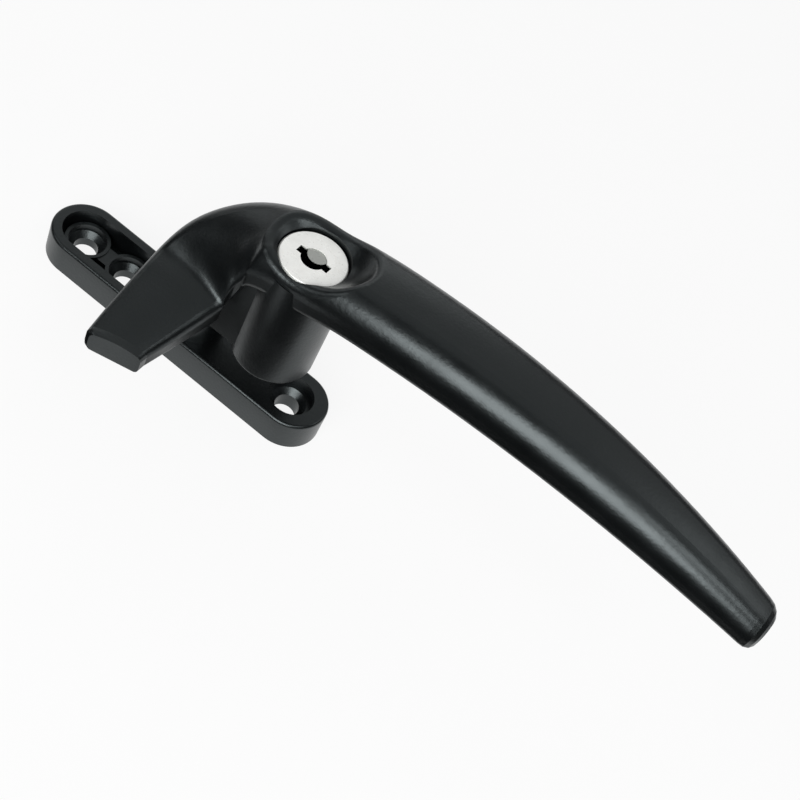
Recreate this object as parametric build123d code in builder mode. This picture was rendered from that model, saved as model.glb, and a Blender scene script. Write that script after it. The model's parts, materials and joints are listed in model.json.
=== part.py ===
from build123d import *
import os
from math import cos, pi, radians, sin

os.makedirs("parts", exist_ok=True)

# Frame: the origin is midway between the end screw holes on the mounting face, Z stands out of it,
# the closed grip lies along +X and the nose points along -Y. Places on the handle, the post and the
# lock are counted from the pivot. Lengths are in millimetres, angles in degrees.

# Base plate
plate_length = 76.0
plate_width = 16.0
plate_thickness = 7.6
plate_edge_radius = 0.7
fixing_span = 58.5
second_hole_step = 12.0
pivot_x = 2.0
screw_hole_diameter = 5.6
screw_cone_diameter = 8.2
screw_cone_angle = 90.0
screw_head_diameter = 10.4
screw_head_depth = 2.6
pocket_rim = 2.4
pocket_floor = 1.8
pocket_end_wall = 1.6
boss_drop = 2.6
boss_ring_wall = 0.8
boss_head_diameter = 8.8
boss_head_depth = 1.5
boss_web_width = 4.6
boss_web_drop = 0.3

# Post and the spindle through it
post_diameter = 14.0
post_top = 17.0
spigot_diameter = 12.0
spigot_top = 28.2
spigot_chamfer = 0.4
spindle_diameter = 5.0
spindle_top = 37.0
spindle_end = 0.5
spindle_chamfer = 0.4
recess_diameter = 13.0
recess_depth = 4.4

# Washer stack under the plate
washer_diameter = 12.0
backing_thickness = 0.6
wave_thickness = 0.5
wave_height = 0.5
wave_count = 3
retaining_thickness = 0.6
circlip_thickness = 0.8
circlip_diameter = 9.0
circlip_opening = 3.6
spindle_groove_depth = 0.6
friction_thickness = 0.6

# Handle: arched grip
grip_tip = 132.2
grip_shift = 1.35
arch_radius = 260.0
arch_peak = 70.0
arch_height = 49.92
grip_full = 16.0
grip_width = 21.3
grip_tip_width = 11.0
grip_thickness = 11.55
grip_tip_thickness = 7.1
taper_power = 2.4
crown = 0.08
side_draft = 0.06
nose_draft = 0.0
upper_corner = 0.58
lower_corner = 0.18
tip_corner = 3.0
tip_flatness = 0.35
grip_step = 11.0
grip_steps = 11

# Handle: head and nose
corner_radius = 1.5
nose_side = 9.4
nose_reach = 33.4
nose_root_width = 19.0
nose_root_thickness = 7.0
nose_root_height = 29.0
nose_root_roll = -8.0
nose_tip_width = 12.8
nose_tip_thickness = 5.4
nose_tip_height = 24.9
nose_tip_roll = 11.0
nose_drift = -0.5
head_corner = 0.34
nose_corner = 0.28
nose_skew = 4.0
nose_steps = 7
nose_end_corner = 2.0
head_swell = 0.3
head_deepening = 3.0
head_drop = 2.0
head_reach = 34.0

# Hub and lock boss under the head
hub_diameter = 15.0
hub_bottom = 17.7
hub_top = 33.0
lock_offset = 18.8
boss_diameter = 18.4
boss_top = 44.0
web_width = 14.6
web_start = 4.0
web_top = 37.5

# Dish round the lock
dish_length = 22.6
dish_width = 19.4
dish_depth = 5.2
dish_sink = 1.8
dish_shift = -0.7
dish_lip = 2.0

# Lock
lock_face_height = 46.2
lock_face_diameter = 14.9
lock_face_thickness = 1.6
lock_face_chamfer = 0.35
sleeve_diameter = 13.0
sleeve_bottom = 28.0
plug_diameter = 10.0
plug_bottom = 25.4
cavity_diameter = 11.8
keyhole_diameter = 5.6
keyhole_depth = 3.0
shutter_diameter = 4.8
shutter_shift = 1.9
shutter_drop = 0.3
shutter_thickness = 0.9
key_slot_length = 7.8
key_slot_width = 2.0
key_slot_depth = 13.0
plug_washer_thickness = 0.5
plug_clip_thickness = 0.8
plug_clip_diameter = 11.0
plug_clip_opening = 6.0
plug_groove_depth = 1.0
sleeve_pin_diameter = 2.0
sleeve_pin_height = 34.0
sleeve_pin_inset = 0.4
wafer_count = 5
wafer_pitch = 1.7
wafer_first = 41.0
wafer_length = 8.4
wafer_width = 5.0
wafer_thickness = 0.8
wafer_window_length = 5.4
wafer_window_width = 2.2

# Locking bolt
bolt_width = 5.0
bolt_height = 5.0
bolt_travel = 3.0
bolt_setback = 0.3
bolt_tail = 4.2
drive_pin_diameter = 2.0
drive_pin_angle = 45.0
cover_thickness = 1.4
cover_flange = 2.0
cover_diameter = 14.0
cover_tongue_width = 7.4
cover_bridge = 1.2
cover_edge_radius = 0.6

# Fits
running_fit = 0.05
slide_fit = 0.1
pin_play = 0.2
side_gap = 0.3
end_gap = 0.3

# Places worked out from the sizes above
grip_side_hole = fixing_span / 2
outer_hole = -fixing_span / 2
second_hole = outer_hole + second_hole_step
screw_boss_top = plate_thickness - boss_drop
screw_boss_diameter = boss_head_diameter + 2 * boss_ring_wall
pocket_start = pocket_rim - plate_length / 2
pocket_end = pivot_x - post_diameter / 2 - pocket_end_wall
spigot_radius = spigot_diameter / 2
hub_bore_diameter = spigot_diameter + 2 * running_fit
spindle_bore_diameter = spindle_diameter + 2 * running_fit
plug_bore_diameter = plug_diameter + 2 * running_fit
cover_top = hub_bottom + cover_thickness
bolt_bottom = cover_top + slide_fit
bolt_tip = hub_bore_diameter / 2 + bolt_setback
notch_floor = bolt_tip - bolt_travel - end_gap
drive_pin_throw = bolt_travel / (2 * sin(radians(drive_pin_angle)))
drive_pin_x = lock_offset + drive_pin_throw * cos(radians(drive_pin_angle))
drive_pin_y = drive_pin_throw * sin(radians(drive_pin_angle))
lock_seat = lock_face_height - lock_face_thickness
sleeve_top = lock_seat - running_fit
plug_clip_top = sleeve_bottom - plug_washer_thickness - running_fit
backing_bottom = recess_depth - backing_thickness
wave_bottom = backing_bottom - wave_thickness - wave_height
retaining_top = wave_bottom - running_fit
circlip_top = retaining_top - retaining_thickness
cover_end = hub_bore_diameter / 2 + cover_bridge
sleeve_pin_start = plug_bore_diameter / 2 + end_gap
wafer_places = [wafer_first - wafer_pitch * step for step in range(wafer_count)]
wave_width = washer_diameter * pi / (4 * wave_count)
wave_radius = ((wave_width / 2) ** 2 + wave_height ** 2) / (2 * wave_height)
dish_middle = lock_offset + dish_shift
dish_bottom = lock_face_height - dish_sink
dish_long_radius = ((dish_length / 2) ** 2 + dish_depth ** 2) / (2 * dish_depth)
dish_axis = dish_bottom + ((dish_width / 2) ** 2 + dish_depth ** 2) / (2 * dish_depth)
grip_end = grip_tip - tip_corner
corner_x = nose_side + corner_radius
corner_y = grip_shift - grip_width / 2 - corner_radius


def arch(x):
    """Height of the grip's middle line at a place along it."""
    return arch_height - (x - arch_peak) ** 2 / (2 * arch_radius)


def taper(x, full, tip):
    """Size of the grip's section at a place along it."""
    share = max(0.0, (x - grip_full) / (grip_tip - grip_full))
    return full - (full - tip) * share ** taper_power


def blend(start, end, share):
    """Value part of the way from one to another."""
    return start + (end - start) * share


def level(height):
    """Plane square to the pivot, centred on it."""
    return Plane((pivot_x, 0, height))


def upright(depth):
    """Upright plane along the grip, moved away from the nose."""
    return Plane((pivot_x, depth, 0), x_dir=(1, 0, 0), z_dir=(0, -1, 0))


def station(place, heading=0.0, roll=0.0):
    """Upright plane across the handle: heading 0 looks back along the grip, 90 out along the nose."""
    along = (-cos(radians(heading)), -sin(radians(heading)), 0)
    across = (sin(radians(heading)), -cos(radians(heading)), 0)
    origin = (pivot_x + place[0], place[1], place[2])
    return Plane(origin, x_dir=across, z_dir=along).rotated((0, 0, roll))


def handle_section(plane, width, thickness, draft=side_draft, soft=upper_corner):
    """Crowned section with drafted sides, soft upper edges and tighter lower edges."""
    half = width / 2
    top = thickness / 2
    foot = half - draft * thickness
    shoulder = top - crown * width
    with BuildSketch(plane) as section:
        with BuildLine():
            Polyline((half, shoulder), (foot, -top), (-foot, -top), (-half, shoulder))
            ThreePointArc((-half, shoulder), (0, top), (half, shoulder))
        make_face()
        fillet(section.vertices().group_by(Axis.Y)[-1], soft * thickness)
        fillet(section.vertices().group_by(Axis.Y)[0], lower_corner * thickness)
    return section.sketch


def head_depth(x):
    """Extra depth under the grip as it nears the head."""
    return head_drop * max(0.0, (head_reach - x) / (head_reach - corner_x)) ** 2


def grip_section(x, turn=0.0):
    """Section across the grip, whose end turns in on both sides."""
    trim = 2 * tip_corner * (1 - cos(radians(turn)))
    width = taper(x, grip_width, grip_tip_width) - trim
    depth = head_depth(x)
    thickness = taper(x, grip_thickness, grip_tip_thickness) + depth - trim * tip_flatness
    beyond = x + tip_corner * sin(radians(turn))
    place = (beyond, grip_shift * width / grip_width, arch(beyond) - depth / 2)
    return handle_section(station(place), width, thickness)


def turn_section(share):
    """Section across the head, fanned about the inner corner from the grip to the nose."""
    heading = 90.0 * share
    swell = sin(pi * share)
    width = blend(grip_width, nose_root_width, share) + head_swell * swell
    thickness = blend(grip_thickness + head_drop, nose_root_thickness, share) + head_deepening * swell
    reach = corner_radius + width / 2
    place = (
        corner_x - reach * sin(radians(heading)),
        corner_y + reach * cos(radians(heading)),
        blend(arch(corner_x) - head_drop / 2, nose_root_height, share),
    )
    draft = blend(side_draft, nose_draft, share)
    soft = blend(upper_corner, head_corner, share)
    return handle_section(station(place, heading, nose_root_roll * share), width, thickness, draft, soft)


def nose_section(share, turn=0.0):
    """Section across the nose, whose end stands a little askew and turns in on its outer corner."""
    trim = nose_end_corner * (1 - cos(radians(turn)))
    width = blend(nose_root_width, nose_tip_width, share) - trim
    thickness = blend(nose_root_thickness, nose_tip_thickness, share)
    place = (
        blend(nose_side - nose_root_width / 2, nose_drift, share) + trim / 2,
        blend(corner_y, nose_end_corner - nose_reach, share) - nose_end_corner * sin(radians(turn)),
        blend(nose_root_height, nose_tip_height, share),
    )
    plane = station(place, 90.0 + nose_skew * share, blend(nose_root_roll, nose_tip_roll, share))
    return handle_section(plane, width, thickness, nose_draft, blend(head_corner, nose_corner, share))


end_turns = (75.0, 50.0, 25.0)
grip_end_sections = [grip_section(grip_end, turn) for turn in end_turns]
grip_sections = [grip_section(grip_end - grip_step * step) for step in range(grip_steps)]
turn_sections = [turn_section(share) for share in (0.0, 0.2, 0.4, 0.6, 0.8, 1.0)]
nose_sections = [nose_section(step / nose_steps) for step in range(1, nose_steps + 1)]
nose_end_sections = [nose_section(1.0, turn) for turn in reversed(end_turns)]

with BuildPart() as handle_lever:
    loft(grip_sections + turn_sections + nose_sections)
    # Rounded ends of the grip and the nose
    loft(grip_end_sections + grip_sections[:1], ruled=True)
    loft(nose_sections[-1:] + nose_end_sections, ruled=True)
    # Hub over the post, lock boss, and the web between them
    with BuildSketch(level(hub_bottom)):
        Circle(hub_diameter / 2)
    extrude(amount=hub_top - hub_bottom)
    with BuildSketch(level(hub_bottom)):
        with Locations((lock_offset, 0)):
            Circle(boss_diameter / 2)
    extrude(amount=boss_top - hub_bottom)
    with BuildSketch(level(hub_bottom)):
        with Locations((web_start, 0)):
            Rectangle(lock_offset - web_start, web_width, align=(Align.MIN, Align.CENTER))
    extrude(amount=web_top - hub_bottom)
    # Dish round the lock
    with BuildSketch(upright(0)):
        with Locations((dish_middle, dish_bottom + dish_long_radius)):
            Circle(dish_long_radius)
        with Locations((dish_middle, dish_axis)):
            Rectangle(
                2 * dish_long_radius,
                2 * dish_long_radius,
                align=(Align.CENTER, Align.MIN),
                mode=Mode.SUBTRACT,
            )
    revolve(axis=Axis((pivot_x + dish_middle, 0, dish_axis), (1, 0, 0)), mode=Mode.SUBTRACT)
    fillet(handle_lever.faces().filter_by(GeomType.REVOLUTION).edges(), dish_lip)
    # Seat for the lock: face recess, sleeve bore, cavity and the bolt's channel
    with BuildSketch(level(lock_seat - end_gap)):
        with Locations((lock_offset, 0)):
            Circle(lock_face_diameter / 2 + side_gap)
    extrude(amount=dish_depth, mode=Mode.SUBTRACT)
    with BuildSketch(level(sleeve_bottom)):
        with Locations((lock_offset, 0)):
            Circle(sleeve_diameter / 2)
    extrude(amount=lock_seat - sleeve_bottom, mode=Mode.SUBTRACT)
    with BuildSketch(level(hub_bottom)):
        with Locations((lock_offset, 0)):
            Circle(cavity_diameter / 2)
    extrude(amount=sleeve_bottom - hub_bottom, mode=Mode.SUBTRACT)
    with BuildSketch(level(cover_top)):
        Rectangle(lock_offset, bolt_width + 2 * slide_fit, align=(Align.MIN, Align.CENTER))
    extrude(amount=bolt_height + 2 * slide_fit, mode=Mode.SUBTRACT)
    with BuildSketch(level(hub_bottom)):
        with Locations((lock_offset, 0)):
            Circle(cover_diameter / 2)
        with Locations((cover_end, 0)):
            Rectangle(lock_offset - cover_end, cover_tongue_width, align=(Align.MIN, Align.CENTER))
    extrude(amount=cover_thickness, mode=Mode.SUBTRACT)
    # Bores for the post's spigot, the spindle and the dowel
    with BuildSketch(level(hub_bottom)):
        Circle(hub_bore_diameter / 2)
    extrude(amount=spigot_top + end_gap - hub_bottom, mode=Mode.SUBTRACT)
    with BuildSketch(level(hub_bottom)):
        Circle(spindle_diameter / 2)
    extrude(amount=spindle_top - hub_bottom, mode=Mode.SUBTRACT)
    with BuildSketch(upright(0)):
        with Locations((lock_offset, sleeve_pin_height)):
            Circle(sleeve_pin_diameter / 2)
    extrude(amount=-boss_diameter, mode=Mode.SUBTRACT)

handle_lever.part.label = "handle_lever"
export_step(handle_lever.part, "parts/handle_lever.step")

with BuildPart() as base_plate:
    with BuildSketch():
        SlotOverall(plate_length, plate_width)
    extrude(amount=plate_thickness)
    fillet(base_plate.faces().sort_by(Axis.Z)[-1].edges(), plate_edge_radius)
    # Cored pocket with two screw bosses and the web between them
    with BuildSketch(Plane.XY.offset(pocket_floor)):
        with Locations(((pocket_start + pocket_end) / 2, 0)):
            SlotOverall(pocket_end - pocket_start, plate_width - 2 * pocket_rim)
    extrude(amount=plate_thickness, mode=Mode.SUBTRACT)
    with BuildSketch(Plane.XY.offset(pocket_floor)):
        with Locations((outer_hole, 0), (second_hole, 0)):
            Circle(screw_boss_diameter / 2)
    extrude(amount=screw_boss_top - pocket_floor)
    with BuildSketch(Plane.XY.offset(pocket_floor)):
        with Locations(((outer_hole + pocket_end) / 2, 0)):
            Rectangle(pocket_end - outer_hole, boss_web_width)
    extrude(amount=screw_boss_top - boss_web_drop - pocket_floor)
    with Locations((outer_hole, 0, screw_boss_top), (second_hole, 0, screw_boss_top)):
        CounterBoreHole(screw_hole_diameter / 2, boss_head_diameter / 2, boss_head_depth)
    with Locations((grip_side_hole, 0, plate_thickness)):
        CounterBoreHole(screw_hole_diameter / 2, screw_head_diameter / 2, screw_head_depth)
    cone_places = [
        (outer_hole, 0, screw_boss_top - boss_head_depth),
        (second_hole, 0, screw_boss_top - boss_head_depth),
        (grip_side_hole, 0, plate_thickness - screw_head_depth),
    ]
    with Locations(*cone_places):
        CounterSinkHole(
            screw_hole_diameter / 2, screw_cone_diameter / 2, counter_sink_angle=screw_cone_angle
        )
    # Post and spigot, with a notch for the bolt in the closed and in the open place
    with BuildSketch(level(plate_thickness)):
        Circle(post_diameter / 2)
    extrude(amount=post_top - plate_thickness)
    with BuildSketch(level(post_top)):
        Circle(spigot_radius)
    extrude(amount=spigot_top - post_top)
    chamfer(base_plate.faces().sort_by(Axis.Z)[-1].edges(), spigot_chamfer)
    with BuildSketch(level(bolt_bottom - end_gap)):
        with PolarLocations(notch_floor, 2, angular_range=90, endpoint=True):
            Rectangle(spigot_radius, bolt_width + 2 * side_gap, align=(Align.MIN, Align.CENTER))
    extrude(amount=bolt_height + 2 * end_gap, mode=Mode.SUBTRACT)
    with BuildSketch(level(0)):
        Circle(spindle_bore_diameter / 2)
    extrude(amount=spigot_top, mode=Mode.SUBTRACT)
    with BuildSketch(level(0)):
        Circle(recess_diameter / 2)
    extrude(amount=recess_depth, mode=Mode.SUBTRACT)

base_plate.part.label = "base_plate"
export_step(base_plate.part, "parts/base_plate.step")

with BuildPart() as pivot_spindle:
    with BuildSketch(level(spindle_end)):
        Circle(spindle_diameter / 2)
    extrude(amount=spindle_top - spindle_end)
    chamfer(pivot_spindle.faces().sort_by(Axis.Z)[0].edges(), spindle_chamfer)
    with BuildSketch(level(circlip_top)):
        Circle(spindle_diameter / 2)
        Circle(spindle_diameter / 2 - spindle_groove_depth, mode=Mode.SUBTRACT)
    extrude(amount=-circlip_thickness, mode=Mode.SUBTRACT)

pivot_spindle.part.label = "pivot_spindle"
export_step(pivot_spindle.part, "parts/pivot_spindle.step")

with BuildPart() as friction_washer:
    with BuildSketch(level(post_top)):
        Circle(post_diameter / 2)
        Circle(hub_bore_diameter / 2, mode=Mode.SUBTRACT)
    extrude(amount=friction_thickness)

friction_washer.part.label = "friction_washer"
export_step(friction_washer.part, "parts/friction_washer.step")

with BuildPart() as backing_washer:
    with BuildSketch(level(backing_bottom)):
        Circle(washer_diameter / 2)
        Circle(spindle_bore_diameter / 2, mode=Mode.SUBTRACT)
    extrude(amount=backing_thickness)

backing_washer.part.label = "backing_washer"
export_step(backing_washer.part, "parts/backing_washer.step")

with BuildPart() as wave_washer:
    with BuildSketch(level(wave_bottom)):
        Circle(washer_diameter / 2)
        Circle(spindle_bore_diameter / 2, mode=Mode.SUBTRACT)
    extrude(amount=wave_thickness + wave_height)
    with Locations((pivot_x, 0, backing_bottom - wave_height + wave_radius)):
        with PolarLocations(washer_diameter / 2, wave_count):
            Cylinder(wave_radius, washer_diameter, rotation=(0, 90, 0), mode=Mode.SUBTRACT)
    with Locations((pivot_x, 0, wave_bottom + wave_height - wave_radius)):
        with PolarLocations(washer_diameter / 2, wave_count, start_angle=180 / wave_count):
            Cylinder(wave_radius, washer_diameter, rotation=(0, 90, 0), mode=Mode.SUBTRACT)

wave_washer.part.label = "wave_washer"
export_step(wave_washer.part, "parts/wave_washer.step")

with BuildPart() as retaining_washer:
    with BuildSketch(level(retaining_top)):
        Circle(washer_diameter / 2)
        Circle(spindle_diameter / 2, mode=Mode.SUBTRACT)
    extrude(amount=-retaining_thickness)

retaining_washer.part.label = "retaining_washer"
export_step(retaining_washer.part, "parts/retaining_washer.step")

with BuildPart() as circlip:
    with BuildSketch(level(circlip_top)):
        Circle(circlip_diameter / 2)
        Circle(spindle_diameter / 2 - spindle_groove_depth, mode=Mode.SUBTRACT)
        Rectangle(circlip_diameter, circlip_opening, align=(Align.MIN, Align.CENTER), mode=Mode.SUBTRACT)
    extrude(amount=-circlip_thickness)

circlip.part.label = "circlip"
export_step(circlip.part, "parts/circlip.step")

with BuildPart() as lock_sleeve:
    with BuildSketch(level(sleeve_bottom)):
        with Locations((lock_offset, 0)):
            Circle(sleeve_diameter / 2)
            Circle(plug_bore_diameter / 2, mode=Mode.SUBTRACT)
    extrude(amount=sleeve_top - sleeve_bottom)
    with BuildSketch(upright(sleeve_pin_start)):
        with Locations((lock_offset, sleeve_pin_height)):
            Circle(sleeve_pin_diameter / 2)
    extrude(amount=-sleeve_diameter, mode=Mode.SUBTRACT)

lock_sleeve.part.label = "lock_sleeve"
export_step(lock_sleeve.part, "parts/lock_sleeve.step")

with BuildPart() as sleeve_pin:
    with BuildSketch(upright(sleeve_pin_start)):
        with Locations((lock_offset, sleeve_pin_height)):
            Circle(sleeve_pin_diameter / 2)
    extrude(amount=-(boss_diameter / 2 - sleeve_pin_inset - sleeve_pin_start))

sleeve_pin.part.label = "sleeve_pin"
export_step(sleeve_pin.part, "parts/sleeve_pin.step")

with BuildPart() as plug_washer:
    with BuildSketch(level(sleeve_bottom)):
        with Locations((lock_offset, 0)):
            Circle(plug_clip_diameter / 2)
            Circle(plug_bore_diameter / 2, mode=Mode.SUBTRACT)
    extrude(amount=-plug_washer_thickness)

plug_washer.part.label = "plug_washer"
export_step(plug_washer.part, "parts/plug_washer.step")

with BuildPart() as plug_clip:
    with BuildSketch(level(plug_clip_top)):
        with Locations((lock_offset, 0)):
            Circle(plug_clip_diameter / 2)
            Circle(plug_diameter / 2 - plug_groove_depth, mode=Mode.SUBTRACT)
            Rectangle(
                plug_clip_diameter, plug_clip_opening, align=(Align.MIN, Align.CENTER), mode=Mode.SUBTRACT
            )
    extrude(amount=-plug_clip_thickness)

plug_clip.part.label = "plug_clip"
export_step(plug_clip.part, "parts/plug_clip.step")

with BuildPart() as lock_plug:
    with BuildSketch(level(plug_bottom)):
        with Locations((lock_offset, 0)):
            Circle(plug_diameter / 2)
    extrude(amount=lock_seat - plug_bottom)
    with BuildSketch(level(lock_seat)):
        with Locations((lock_offset, 0)):
            Circle(lock_face_diameter / 2)
    extrude(amount=lock_face_thickness)
    chamfer(lock_plug.faces().sort_by(Axis.Z)[-1].edges(), lock_face_chamfer)
    # Keyhole: a round recess and the key's slot, partly closed by the round dust shutter
    with BuildSketch(level(lock_face_height)):
        with Locations((lock_offset, 0)):
            Circle(keyhole_diameter / 2)
    extrude(amount=-shutter_drop, mode=Mode.SUBTRACT)
    with BuildSketch(level(lock_face_height)):
        with Locations((lock_offset, 0)):
            Circle(keyhole_diameter / 2)
            Rectangle(key_slot_length, key_slot_width)
        with Locations((lock_offset, shutter_shift)):
            Circle(shutter_diameter / 2, mode=Mode.SUBTRACT)
    extrude(amount=-keyhole_depth, mode=Mode.SUBTRACT)
    with BuildSketch(level(lock_face_height - shutter_drop - shutter_thickness)):
        with Locations((lock_offset, 0)):
            Rectangle(key_slot_length, key_slot_width)
    extrude(amount=-key_slot_depth, mode=Mode.SUBTRACT)
    # Slots for the wafers and the groove for the clip
    for place in wafer_places:
        with BuildSketch(level(place)):
            with Locations((lock_offset, 0)):
                Rectangle(plug_diameter, wafer_width + 2 * slide_fit)
        extrude(amount=wafer_thickness + slide_fit, mode=Mode.SUBTRACT)
    with BuildSketch(level(plug_clip_top)):
        with Locations((lock_offset, 0)):
            Circle(plug_diameter / 2)
            Circle(plug_diameter / 2 - plug_groove_depth, mode=Mode.SUBTRACT)
    extrude(amount=-plug_clip_thickness, mode=Mode.SUBTRACT)
    # Eccentric pin that drives the bolt
    with BuildSketch(level(plug_bottom)):
        with Locations((drive_pin_x, drive_pin_y)):
            Circle(drive_pin_diameter / 2)
    extrude(amount=bolt_bottom + end_gap - plug_bottom)

lock_plug.part.label = "lock_plug"
export_step(lock_plug.part, "parts/lock_plug.step")

for number, place in enumerate(wafer_places, start=1):
    with BuildPart() as wafer:
        with BuildSketch(level(place)):
            with Locations((lock_offset, 0)):
                Rectangle(wafer_length, wafer_width)
                Rectangle(wafer_window_length, wafer_window_width, mode=Mode.SUBTRACT)
        extrude(amount=wafer_thickness)
    wafer.part.label = f"wafer_{number}"
    export_step(wafer.part, f"parts/wafer_{number}.step")

with BuildPart() as locking_bolt:
    with BuildSketch(level(bolt_bottom)):
        with Locations((bolt_tip, 0)):
            Rectangle(lock_offset + bolt_tail - bolt_tip, bolt_width, align=(Align.MIN, Align.CENTER))
        with Locations((drive_pin_x, drive_pin_y - drive_pin_diameter / 2 - end_gap)):
            Rectangle(
                drive_pin_diameter + 2 * pin_play,
                bolt_width,
                align=(Align.CENTER, Align.MIN),
                mode=Mode.SUBTRACT,
            )
    extrude(amount=bolt_height)

locking_bolt.part.label = "locking_bolt"
export_step(locking_bolt.part, "parts/locking_bolt.step")

with BuildPart() as lock_cover:
    with BuildSketch(level(hub_bottom)):
        with Locations((lock_offset, 0)):
            Circle(cover_diameter / 2)
        with Locations((cover_end, 0)):
            Rectangle(lock_offset - cover_end, cover_tongue_width, align=(Align.MIN, Align.CENTER))
    extrude(amount=cover_thickness)
    with BuildSketch(level(hub_bottom)):
        with Locations((lock_offset, 0)):
            Circle(boss_diameter / 2)
    extrude(amount=-cover_flange)
    fillet(lock_cover.faces().sort_by(Axis.Z)[0].edges(), cover_edge_radius)

lock_cover.part.label = "lock_cover"
export_step(lock_cover.part, "parts/lock_cover.step")
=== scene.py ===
import json
from math import cos, pi, radians, sin
import bpy
from mathutils import Matrix, Quaternion, Vector


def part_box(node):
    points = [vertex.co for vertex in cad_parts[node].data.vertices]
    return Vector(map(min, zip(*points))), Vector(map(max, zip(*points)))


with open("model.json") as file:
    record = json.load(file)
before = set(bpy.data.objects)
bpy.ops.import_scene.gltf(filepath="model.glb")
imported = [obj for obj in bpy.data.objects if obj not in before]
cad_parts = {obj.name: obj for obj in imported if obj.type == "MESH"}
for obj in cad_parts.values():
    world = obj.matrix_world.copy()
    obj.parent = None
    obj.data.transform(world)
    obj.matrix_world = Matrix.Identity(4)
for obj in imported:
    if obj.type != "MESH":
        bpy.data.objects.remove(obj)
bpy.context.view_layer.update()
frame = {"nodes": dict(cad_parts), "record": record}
nodes = frame["nodes"]
scene = bpy.context.scene
scene.view_settings.view_transform = "Standard"

# Lengths are in metres, noise scales in waves per metre, colours in linear red, green and blue

# Satin black powder coat
coat_dark, coat_light = (0.0014, 0.0017, 0.0019), (0.0026, 0.0030, 0.0033)
coat_sheen, coat_specular = (0.88, 0.985, 1.0, 1.0), 0.68
coat_rough = (0.29, 0.36)
tone_scale, gloss_scale, peel_scale = 60.0, 140.0, 1500.0
peel_strength, peel_depth = 0.50, 0.00006

# Turned nickel, and the tones at each depth below the lock's face: grey at the shutter, then black deeper in
# the keyhole, which is painted shade
nickel_face, nickel_worn = (0.97, 0.975, 0.945), (0.88, 0.885, 0.855)
nickel_rough, nickel_metallic = (0.24, 0.36), (0.15, 1.0)
mottle_scale, polish_scale, ring_scale = 420.0, 700.0, 9000.0
ring_strength, ring_depth = 0.10, 0.00003
plain_white, shutter_grey, keyhole_painted_shade = (1.0, 1.0, 1.0), (0.38, 0.39, 0.38), (0.004, 0.004, 0.004)
face_depth, shutter_depth, shutter_end, black_depth = 0.00006, 0.00015, 0.0003375, 0.00045

# Working metals and nylon of the inside pieces
steel_dark, steel_light, steel_rough = (0.42, 0.42, 0.43), (0.58, 0.58, 0.59), 0.34
spring_dark, spring_light, spring_rough = (0.16, 0.16, 0.18), (0.26, 0.26, 0.29), 0.36
brass_dark, brass_light, brass_rough = (0.58, 0.42, 0.17), (0.72, 0.54, 0.26), 0.30
rough_spread = 0.07
drawn_stretch, drawn_scale, drawn_strength, drawn_depth = (1.0, 1.0, 12.0), 160.0, 0.08, 0.00003
nylon_dark, nylon_light, nylon_rough = (0.70, 0.69, 0.65), (0.80, 0.79, 0.75), (0.45, 0.60)
grain_scale, grain_strength, grain_depth = 900.0, 0.06, 0.00004

# Most of a noise's values lie between these two
noise_low, noise_high = 0.3, 0.7
noise_roughness = 0.55


# Node helpers
def new_material(name):
    material = bpy.data.materials.new(name)
    material.use_nodes = True
    tree = material.node_tree
    shader = next(n for n in tree.nodes if n.type == "BSDF_PRINCIPLED")
    return material, tree, shader


def node(tree, kind, **values):
    made = tree.nodes.new(kind)
    for key, value in values.items():
        if key in made.inputs:
            made.inputs[key].default_value = value
        else:
            setattr(made, key, value)
    return made


def object_coords(tree):
    return node(tree, "ShaderNodeTexCoord").outputs["Object"]


def split_axes(tree, vector):
    made = node(tree, "ShaderNodeSeparateXYZ")
    tree.links.new(vector, made.inputs["Vector"])
    return made.outputs


def vector_math(tree, operation, vector, other=None):
    made = node(tree, "ShaderNodeVectorMath", operation=operation)
    tree.links.new(vector, made.inputs[0])
    if other is not None:
        made.inputs[1].default_value = other
    return made.outputs["Value" if operation == "LENGTH" else "Vector"]


def combine(tree, operation, first, second):
    made = node(tree, "ShaderNodeMath", operation=operation)
    tree.links.new(first, made.inputs[0])
    tree.links.new(second, made.inputs[1])
    return made.outputs["Value"]


def noise(tree, coords, scale, detail=3.0):
    made = node(tree, "ShaderNodeTexNoise", Scale=scale, Detail=detail, Roughness=noise_roughness)
    tree.links.new(coords, made.inputs["Vector"])
    return made.outputs["Fac"]


def remap(tree, value, low, high, start=noise_low, end=noise_high):
    made = node(tree, "ShaderNodeMapRange")
    made.inputs["From Min"].default_value = start
    made.inputs["From Max"].default_value = end
    made.inputs["To Min"].default_value = low
    made.inputs["To Max"].default_value = high
    tree.links.new(value, made.inputs["Value"])
    return made.outputs["Result"]


def tint(tree, value, *stops):
    ramp = node(tree, "ShaderNodeValToRGB")
    for extra in stops[2:]:
        ramp.color_ramp.elements.new(extra[0])
    for element, (position, colour) in zip(ramp.color_ramp.elements, stops):
        element.position = position
        element.color = (*colour, 1)
    tree.links.new(value, ramp.inputs["Fac"])
    return ramp.outputs["Color"]


def two_tone(tree, value, dark, light):
    return tint(tree, value, (noise_low, dark), (noise_high, light))


# The Mix node has sockets for each data type: 0 is the factor, 6 and 7 the colours, and output 2 is a colour
def multiply_colours(tree, first, second):
    made = node(tree, "ShaderNodeMix", data_type="RGBA", blend_type="MULTIPLY")
    made.inputs[0].default_value = 1.0
    tree.links.new(first, made.inputs[6])
    tree.links.new(second, made.inputs[7])
    return made.outputs[2]


def mix_shaders(tree, share, first, second):
    made = node(tree, "ShaderNodeMixShader")
    tree.links.new(share, made.inputs["Fac"])
    tree.links.new(first, made.inputs[1])
    tree.links.new(second, made.inputs[2])
    return made.outputs["Shader"]


def bump(tree, shader, height, strength, distance):
    made = node(tree, "ShaderNodeBump", Strength=strength, Distance=distance)
    tree.links.new(height, made.inputs["Height"])
    tree.links.new(made.outputs["Normal"], shader.inputs["Normal"])


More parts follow.
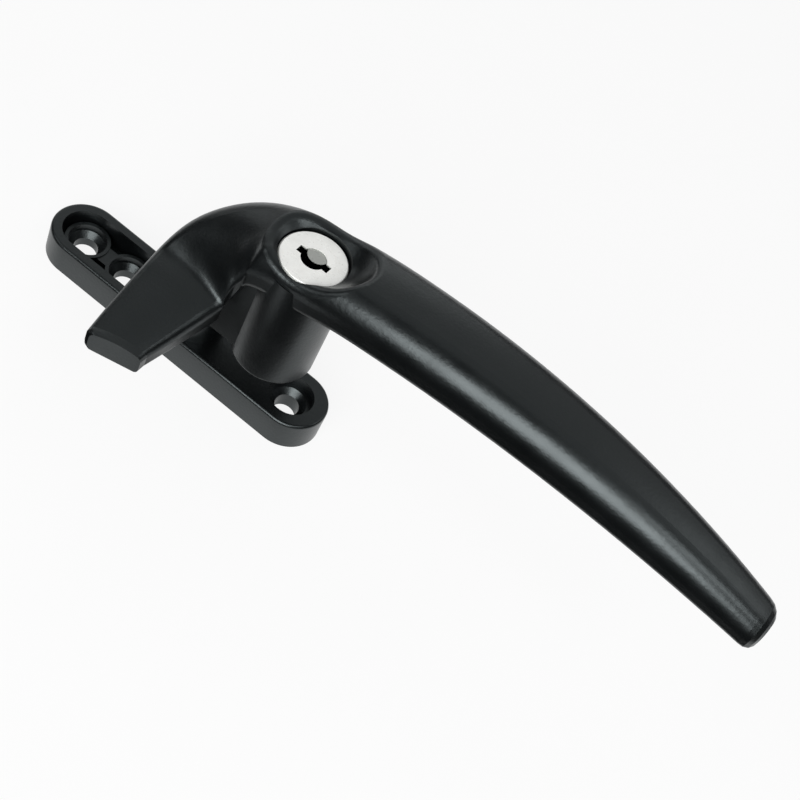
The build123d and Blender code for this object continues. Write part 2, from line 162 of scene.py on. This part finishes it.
# Powder coat: fine orange peel, slow drifts of gloss and a faint change of tone
def powder_coat(name):
    material, tree, shader = new_material(name)
    coords = object_coords(tree)
    tone = two_tone(tree, noise(tree, coords, tone_scale, detail=4.0), coat_dark, coat_light)
    gloss = remap(tree, noise(tree, coords, gloss_scale, detail=4.0), *coat_rough)
    peel = noise(tree, coords, peel_scale, detail=2.0)
    tree.links.new(tone, shader.inputs["Base Color"])
    tree.links.new(gloss, shader.inputs["Roughness"])
    shader.inputs["Specular IOR Level"].default_value = coat_specular
    shader.inputs["Specular Tint"].default_value = coat_sheen
    bump(tree, shader, peel, peel_strength, peel_depth)
    return material


# Turned nickel: fine rings about the lock's axis, mottled, with a grey shutter below the face and a keyhole
# painted black as shade
def turned_nickel(name, centre):
    material, tree, shader = new_material(name)
    coords = object_coords(tree)
    offset = vector_math(tree, "SUBTRACT", coords, centre)
    radius = vector_math(tree, "LENGTH", vector_math(tree, "MULTIPLY", offset, (1.0, 1.0, 0.0)))
    rings = node(tree, "ShaderNodeTexNoise", noise_dimensions="1D", Scale=ring_scale, Detail=2.0)
    tree.links.new(radius, rings.inputs["W"])
    # The colour darkens with depth below the face: grey at the shutter, then painted shade that turns the
    # keyhole black, where the metallic share rises too
    sunk = remap(tree, split_axes(tree, offset)["Z"], 1.0, 0.0, -black_depth, 0.0)
    depths = (face_depth, shutter_depth, shutter_end, black_depth)
    tones = (plain_white, shutter_grey, shutter_grey, keyhole_painted_shade)
    stops = [(depth / black_depth, tone) for depth, tone in zip(depths, tones)]
    mottle = two_tone(tree, noise(tree, coords, mottle_scale, detail=4.0), nickel_worn, nickel_face)
    colour = multiply_colours(tree, tint(tree, sunk, *stops), mottle)
    metallic = remap(tree, sunk, *nickel_metallic, shutter_end / black_depth, 1.0)
    polish = remap(tree, noise(tree, coords, polish_scale), *nickel_rough)
    tree.links.new(colour, shader.inputs["Base Color"])
    tree.links.new(metallic, shader.inputs["Metallic"])
    tree.links.new(polish, shader.inputs["Roughness"])
    bump(tree, shader, rings.outputs["Fac"], ring_strength, ring_depth)
    return material


# Drawn or pressed metal: marks that run along the piece
def worked_metal(name, dark, light, rough):
    material, tree, shader = new_material(name)
    drawn = vector_math(tree, "MULTIPLY", object_coords(tree), drawn_stretch)
    marks = noise(tree, drawn, drawn_scale, detail=4.0)
    gloss = remap(tree, marks, rough - rough_spread, rough + rough_spread)
    tree.links.new(two_tone(tree, marks, dark, light), shader.inputs["Base Color"])
    tree.links.new(gloss, shader.inputs["Roughness"])
    shader.inputs["Metallic"].default_value = 1.0
    bump(tree, shader, marks, drawn_strength, drawn_depth)
    return material


def moulded_nylon(name):
    material, tree, shader = new_material(name)
    grain = noise(tree, object_coords(tree), grain_scale)
    tree.links.new(two_tone(tree, grain, nylon_dark, nylon_light), shader.inputs["Base Color"])
    tree.links.new(remap(tree, grain, *nylon_rough), shader.inputs["Roughness"])
    bump(tree, shader, grain, grain_strength, grain_depth)
    return material


# Each piece takes the finish of its material slot in the record
lock_low, lock_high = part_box("lock_plug")
lock_centre = ((lock_low.x + lock_high.x) / 2, (lock_low.y + lock_high.y) / 2, lock_high.z)
finish = {
    "black_coat": powder_coat("powder_coat"),
    "nickel": turned_nickel("turned_nickel", lock_centre),
    "steel": worked_metal("zinc_plated_steel", steel_dark, steel_light, steel_rough),
    "spring_steel": worked_metal("spring_steel", spring_dark, spring_light, spring_rough),
    "brass": worked_metal("brass", brass_dark, brass_light, brass_rough),
    "nylon": moulded_nylon("nylon"),
}
for entry in frame["record"]["subparts"]:
    piece = nodes[entry["node"]]
    piece.data.materials.clear()
    piece.data.materials.append(finish[entry["material_slot"]])

# Floor: a wide sheet of pale paper just under the part
floor_reach, floor_drop = 4.0, 0.0002
paper_dark, paper_light, paper_scale = (0.79, 0.79, 0.79), (0.82, 0.82, 0.82), 30.0
paper_rough, paper_specular = 0.9, 0.1
corner_signs = [(-1, -1), (1, -1), (1, 1), (-1, 1)]
corners = [(x * floor_reach, y * floor_reach, 0) for x, y in corner_signs]
floor_mesh = bpy.data.meshes.new("floor")
floor_mesh.from_pydata(corners, [], [(0, 1, 2, 3)])
floor = bpy.data.objects.new("floor", floor_mesh)
floor.location.z = -floor_drop
scene.collection.objects.link(floor)
material, tree, shader = new_material("floor_paper_and_painted_reflection")
coords = object_coords(tree)
paper = two_tone(tree, noise(tree, coords, paper_scale), paper_dark, paper_light)
tree.links.new(paper, shader.inputs["Base Color"])
shader.inputs["Roughness"].default_value = paper_rough
shader.inputs["Specular IOR Level"].default_value = paper_specular

# The camera sees the floor nearly white, and the rest of its share keeps the part's shadow.
# Reflections see that white on a sheet by the plate and on a round spot by the nose's end,
# and elsewhere a painted dark reflection that the camera never sees, which keeps the coat black.
white_share = 0.88
# Beyond the sheet's edge, reflections see a painted dark reflection: a faint dark emission put where the
# camera sees white floor
painted_dark_colour, painted_dark_level = (0.95, 0.98, 1.0, 1), 0.02
sheet_edge, sheet_blur = -0.017, 0.005
# A round spot by the nose's end is left free of the painted dark, so the nose's end reflects white there
bright_spot_place, bright_spot_radius, bright_spot_blur = (0.003, -0.056, 0.0), 0.014, 0.004
path = node(tree, "ShaderNodeLightPath")
mirrored = combine(tree, "MAXIMUM", path.outputs["Is Glossy Ray"], path.outputs["Is Transmission Ray"])
seen = combine(tree, "MAXIMUM", path.outputs["Is Camera Ray"], mirrored)
forward = split_axes(tree, coords)["Y"]
off_sheet = remap(tree, forward, 1.0, 0.0, sheet_edge - sheet_blur, sheet_edge + sheet_blur)
bright_spot_distance = vector_math(tree, "LENGTH", vector_math(tree, "SUBTRACT", coords, bright_spot_place))
off_bright_spot = remap(tree, bright_spot_distance, 0.0, 1.0, bright_spot_radius - bright_spot_blur, bright_spot_radius + bright_spot_blur)
painted_dark_share = combine(tree, "MULTIPLY", mirrored, combine(tree, "MULTIPLY", off_sheet, off_bright_spot))
painted_dark_emission = node(tree, "ShaderNodeEmission", Color=painted_dark_colour, Strength=painted_dark_level)
white = node(tree, "ShaderNodeEmission", Color=(1, 1, 1, 1), Strength=1.0)
white_part = remap(tree, seen, 0.0, white_share, 0.0, 1.0)
sheet = mix_shaders(tree, white_part, shader.outputs["BSDF"], white.outputs["Emission"])
surface = mix_shaders(tree, painted_dark_share, sheet, painted_dark_emission.outputs["Emission"])
out = next(n for n in tree.nodes if n.type == "OUTPUT_MATERIAL")
tree.links.new(surface, out.inputs["Surface"])
floor_mesh.materials.append(material)

# World: a dim room that the camera sees as white
room_level, room_colour = 0.03, (0.92, 0.95, 1.0, 1)
world = bpy.data.worlds.new("room")
scene.world = world
world.use_nodes = True
tree = world.node_tree
back = next(n for n in tree.nodes if n.type == "BACKGROUND")
back.inputs["Color"].default_value = room_colour
path = node(tree, "ShaderNodeLightPath")
room_strength = remap(tree, path.outputs["Is Camera Ray"], room_level, 1.0, 0.0, 1.0)
tree.links.new(room_strength, back.inputs["Strength"])

# Lamps aim at the middle of the part; azimuth runs from the front towards +X, angles are in degrees
aim = Vector((0.05, 0.0, 0.03))


def softbox(name, azimuth, elevation, distance, width, height, radiance, roll=0.0):
    turn, rise = radians(azimuth), radians(elevation)
    away = Vector((sin(turn) * cos(rise), -cos(turn) * cos(rise), sin(rise)))
    data = bpy.data.lights.new(name, "AREA")
    data.shape = "RECTANGLE"
    data.size, data.size_y = width, height
    data.energy = radiance * pi * width * height
    lamp = bpy.data.objects.new(name, data)
    lamp.location = aim + distance * away
    facing = (-away).to_track_quat("-Z", "Y") @ Quaternion((0.0, 0.0, 1.0), radians(roll))
    lamp.rotation_euler = facing.to_euler()
    scene.collection.objects.link(lamp)


softbox("ceiling_box", azimuth=180, elevation=58, distance=1.50, width=3.00, height=2.20, radiance=0.38)
softbox("key_box", azimuth=8, elevation=31, distance=0.95, width=0.86, height=0.64, radiance=6.2, roll=22)
softbox("high_box", azimuth=62, elevation=54, distance=0.95, width=0.32, height=0.32, radiance=4.2)
softbox("left_box", azimuth=-64, elevation=41, distance=0.95, width=0.36, height=0.34, radiance=1.6)
softbox("back_box", azimuth=-138, elevation=24, distance=1.20, width=1.40, height=0.44, radiance=0.8)
softbox("right_box", azimuth=134, elevation=43, distance=1.10, width=0.45, height=0.36, radiance=1.1)

# Camera at the photograph's place: right, down and ahead are the picture's own axes
photo_pixels, focal_pixels, sensor_width = 800.0, 1530.2, 36.0
shift_right, shift_up = 0.0375, -0.0100
clip_near, clip_far = 0.01, 20.0
camera_place = Vector((0.08691, -0.20243, 0.26557))
right = Vector((0.773907, 0.545773, 0.321248))
down = Vector((0.618745, -0.543494, -0.567247))
ahead = Vector((-0.134991, 0.637767, -0.758308))
camera_data = bpy.data.cameras.new("camera")
camera = bpy.data.objects.new("camera", camera_data)
scene.collection.objects.link(camera)
scene.camera = camera
camera_turn = Matrix((right, -down, -ahead)).transposed().to_4x4()
camera.matrix_world = Matrix.Translation(camera_place) @ camera_turn
camera_data.sensor_width = sensor_width
camera_data.lens = focal_pixels * sensor_width / photo_pixels
camera_data.shift_x, camera_data.shift_y = shift_right, shift_up
camera_data.clip_start, camera_data.clip_end = clip_near, clip_far
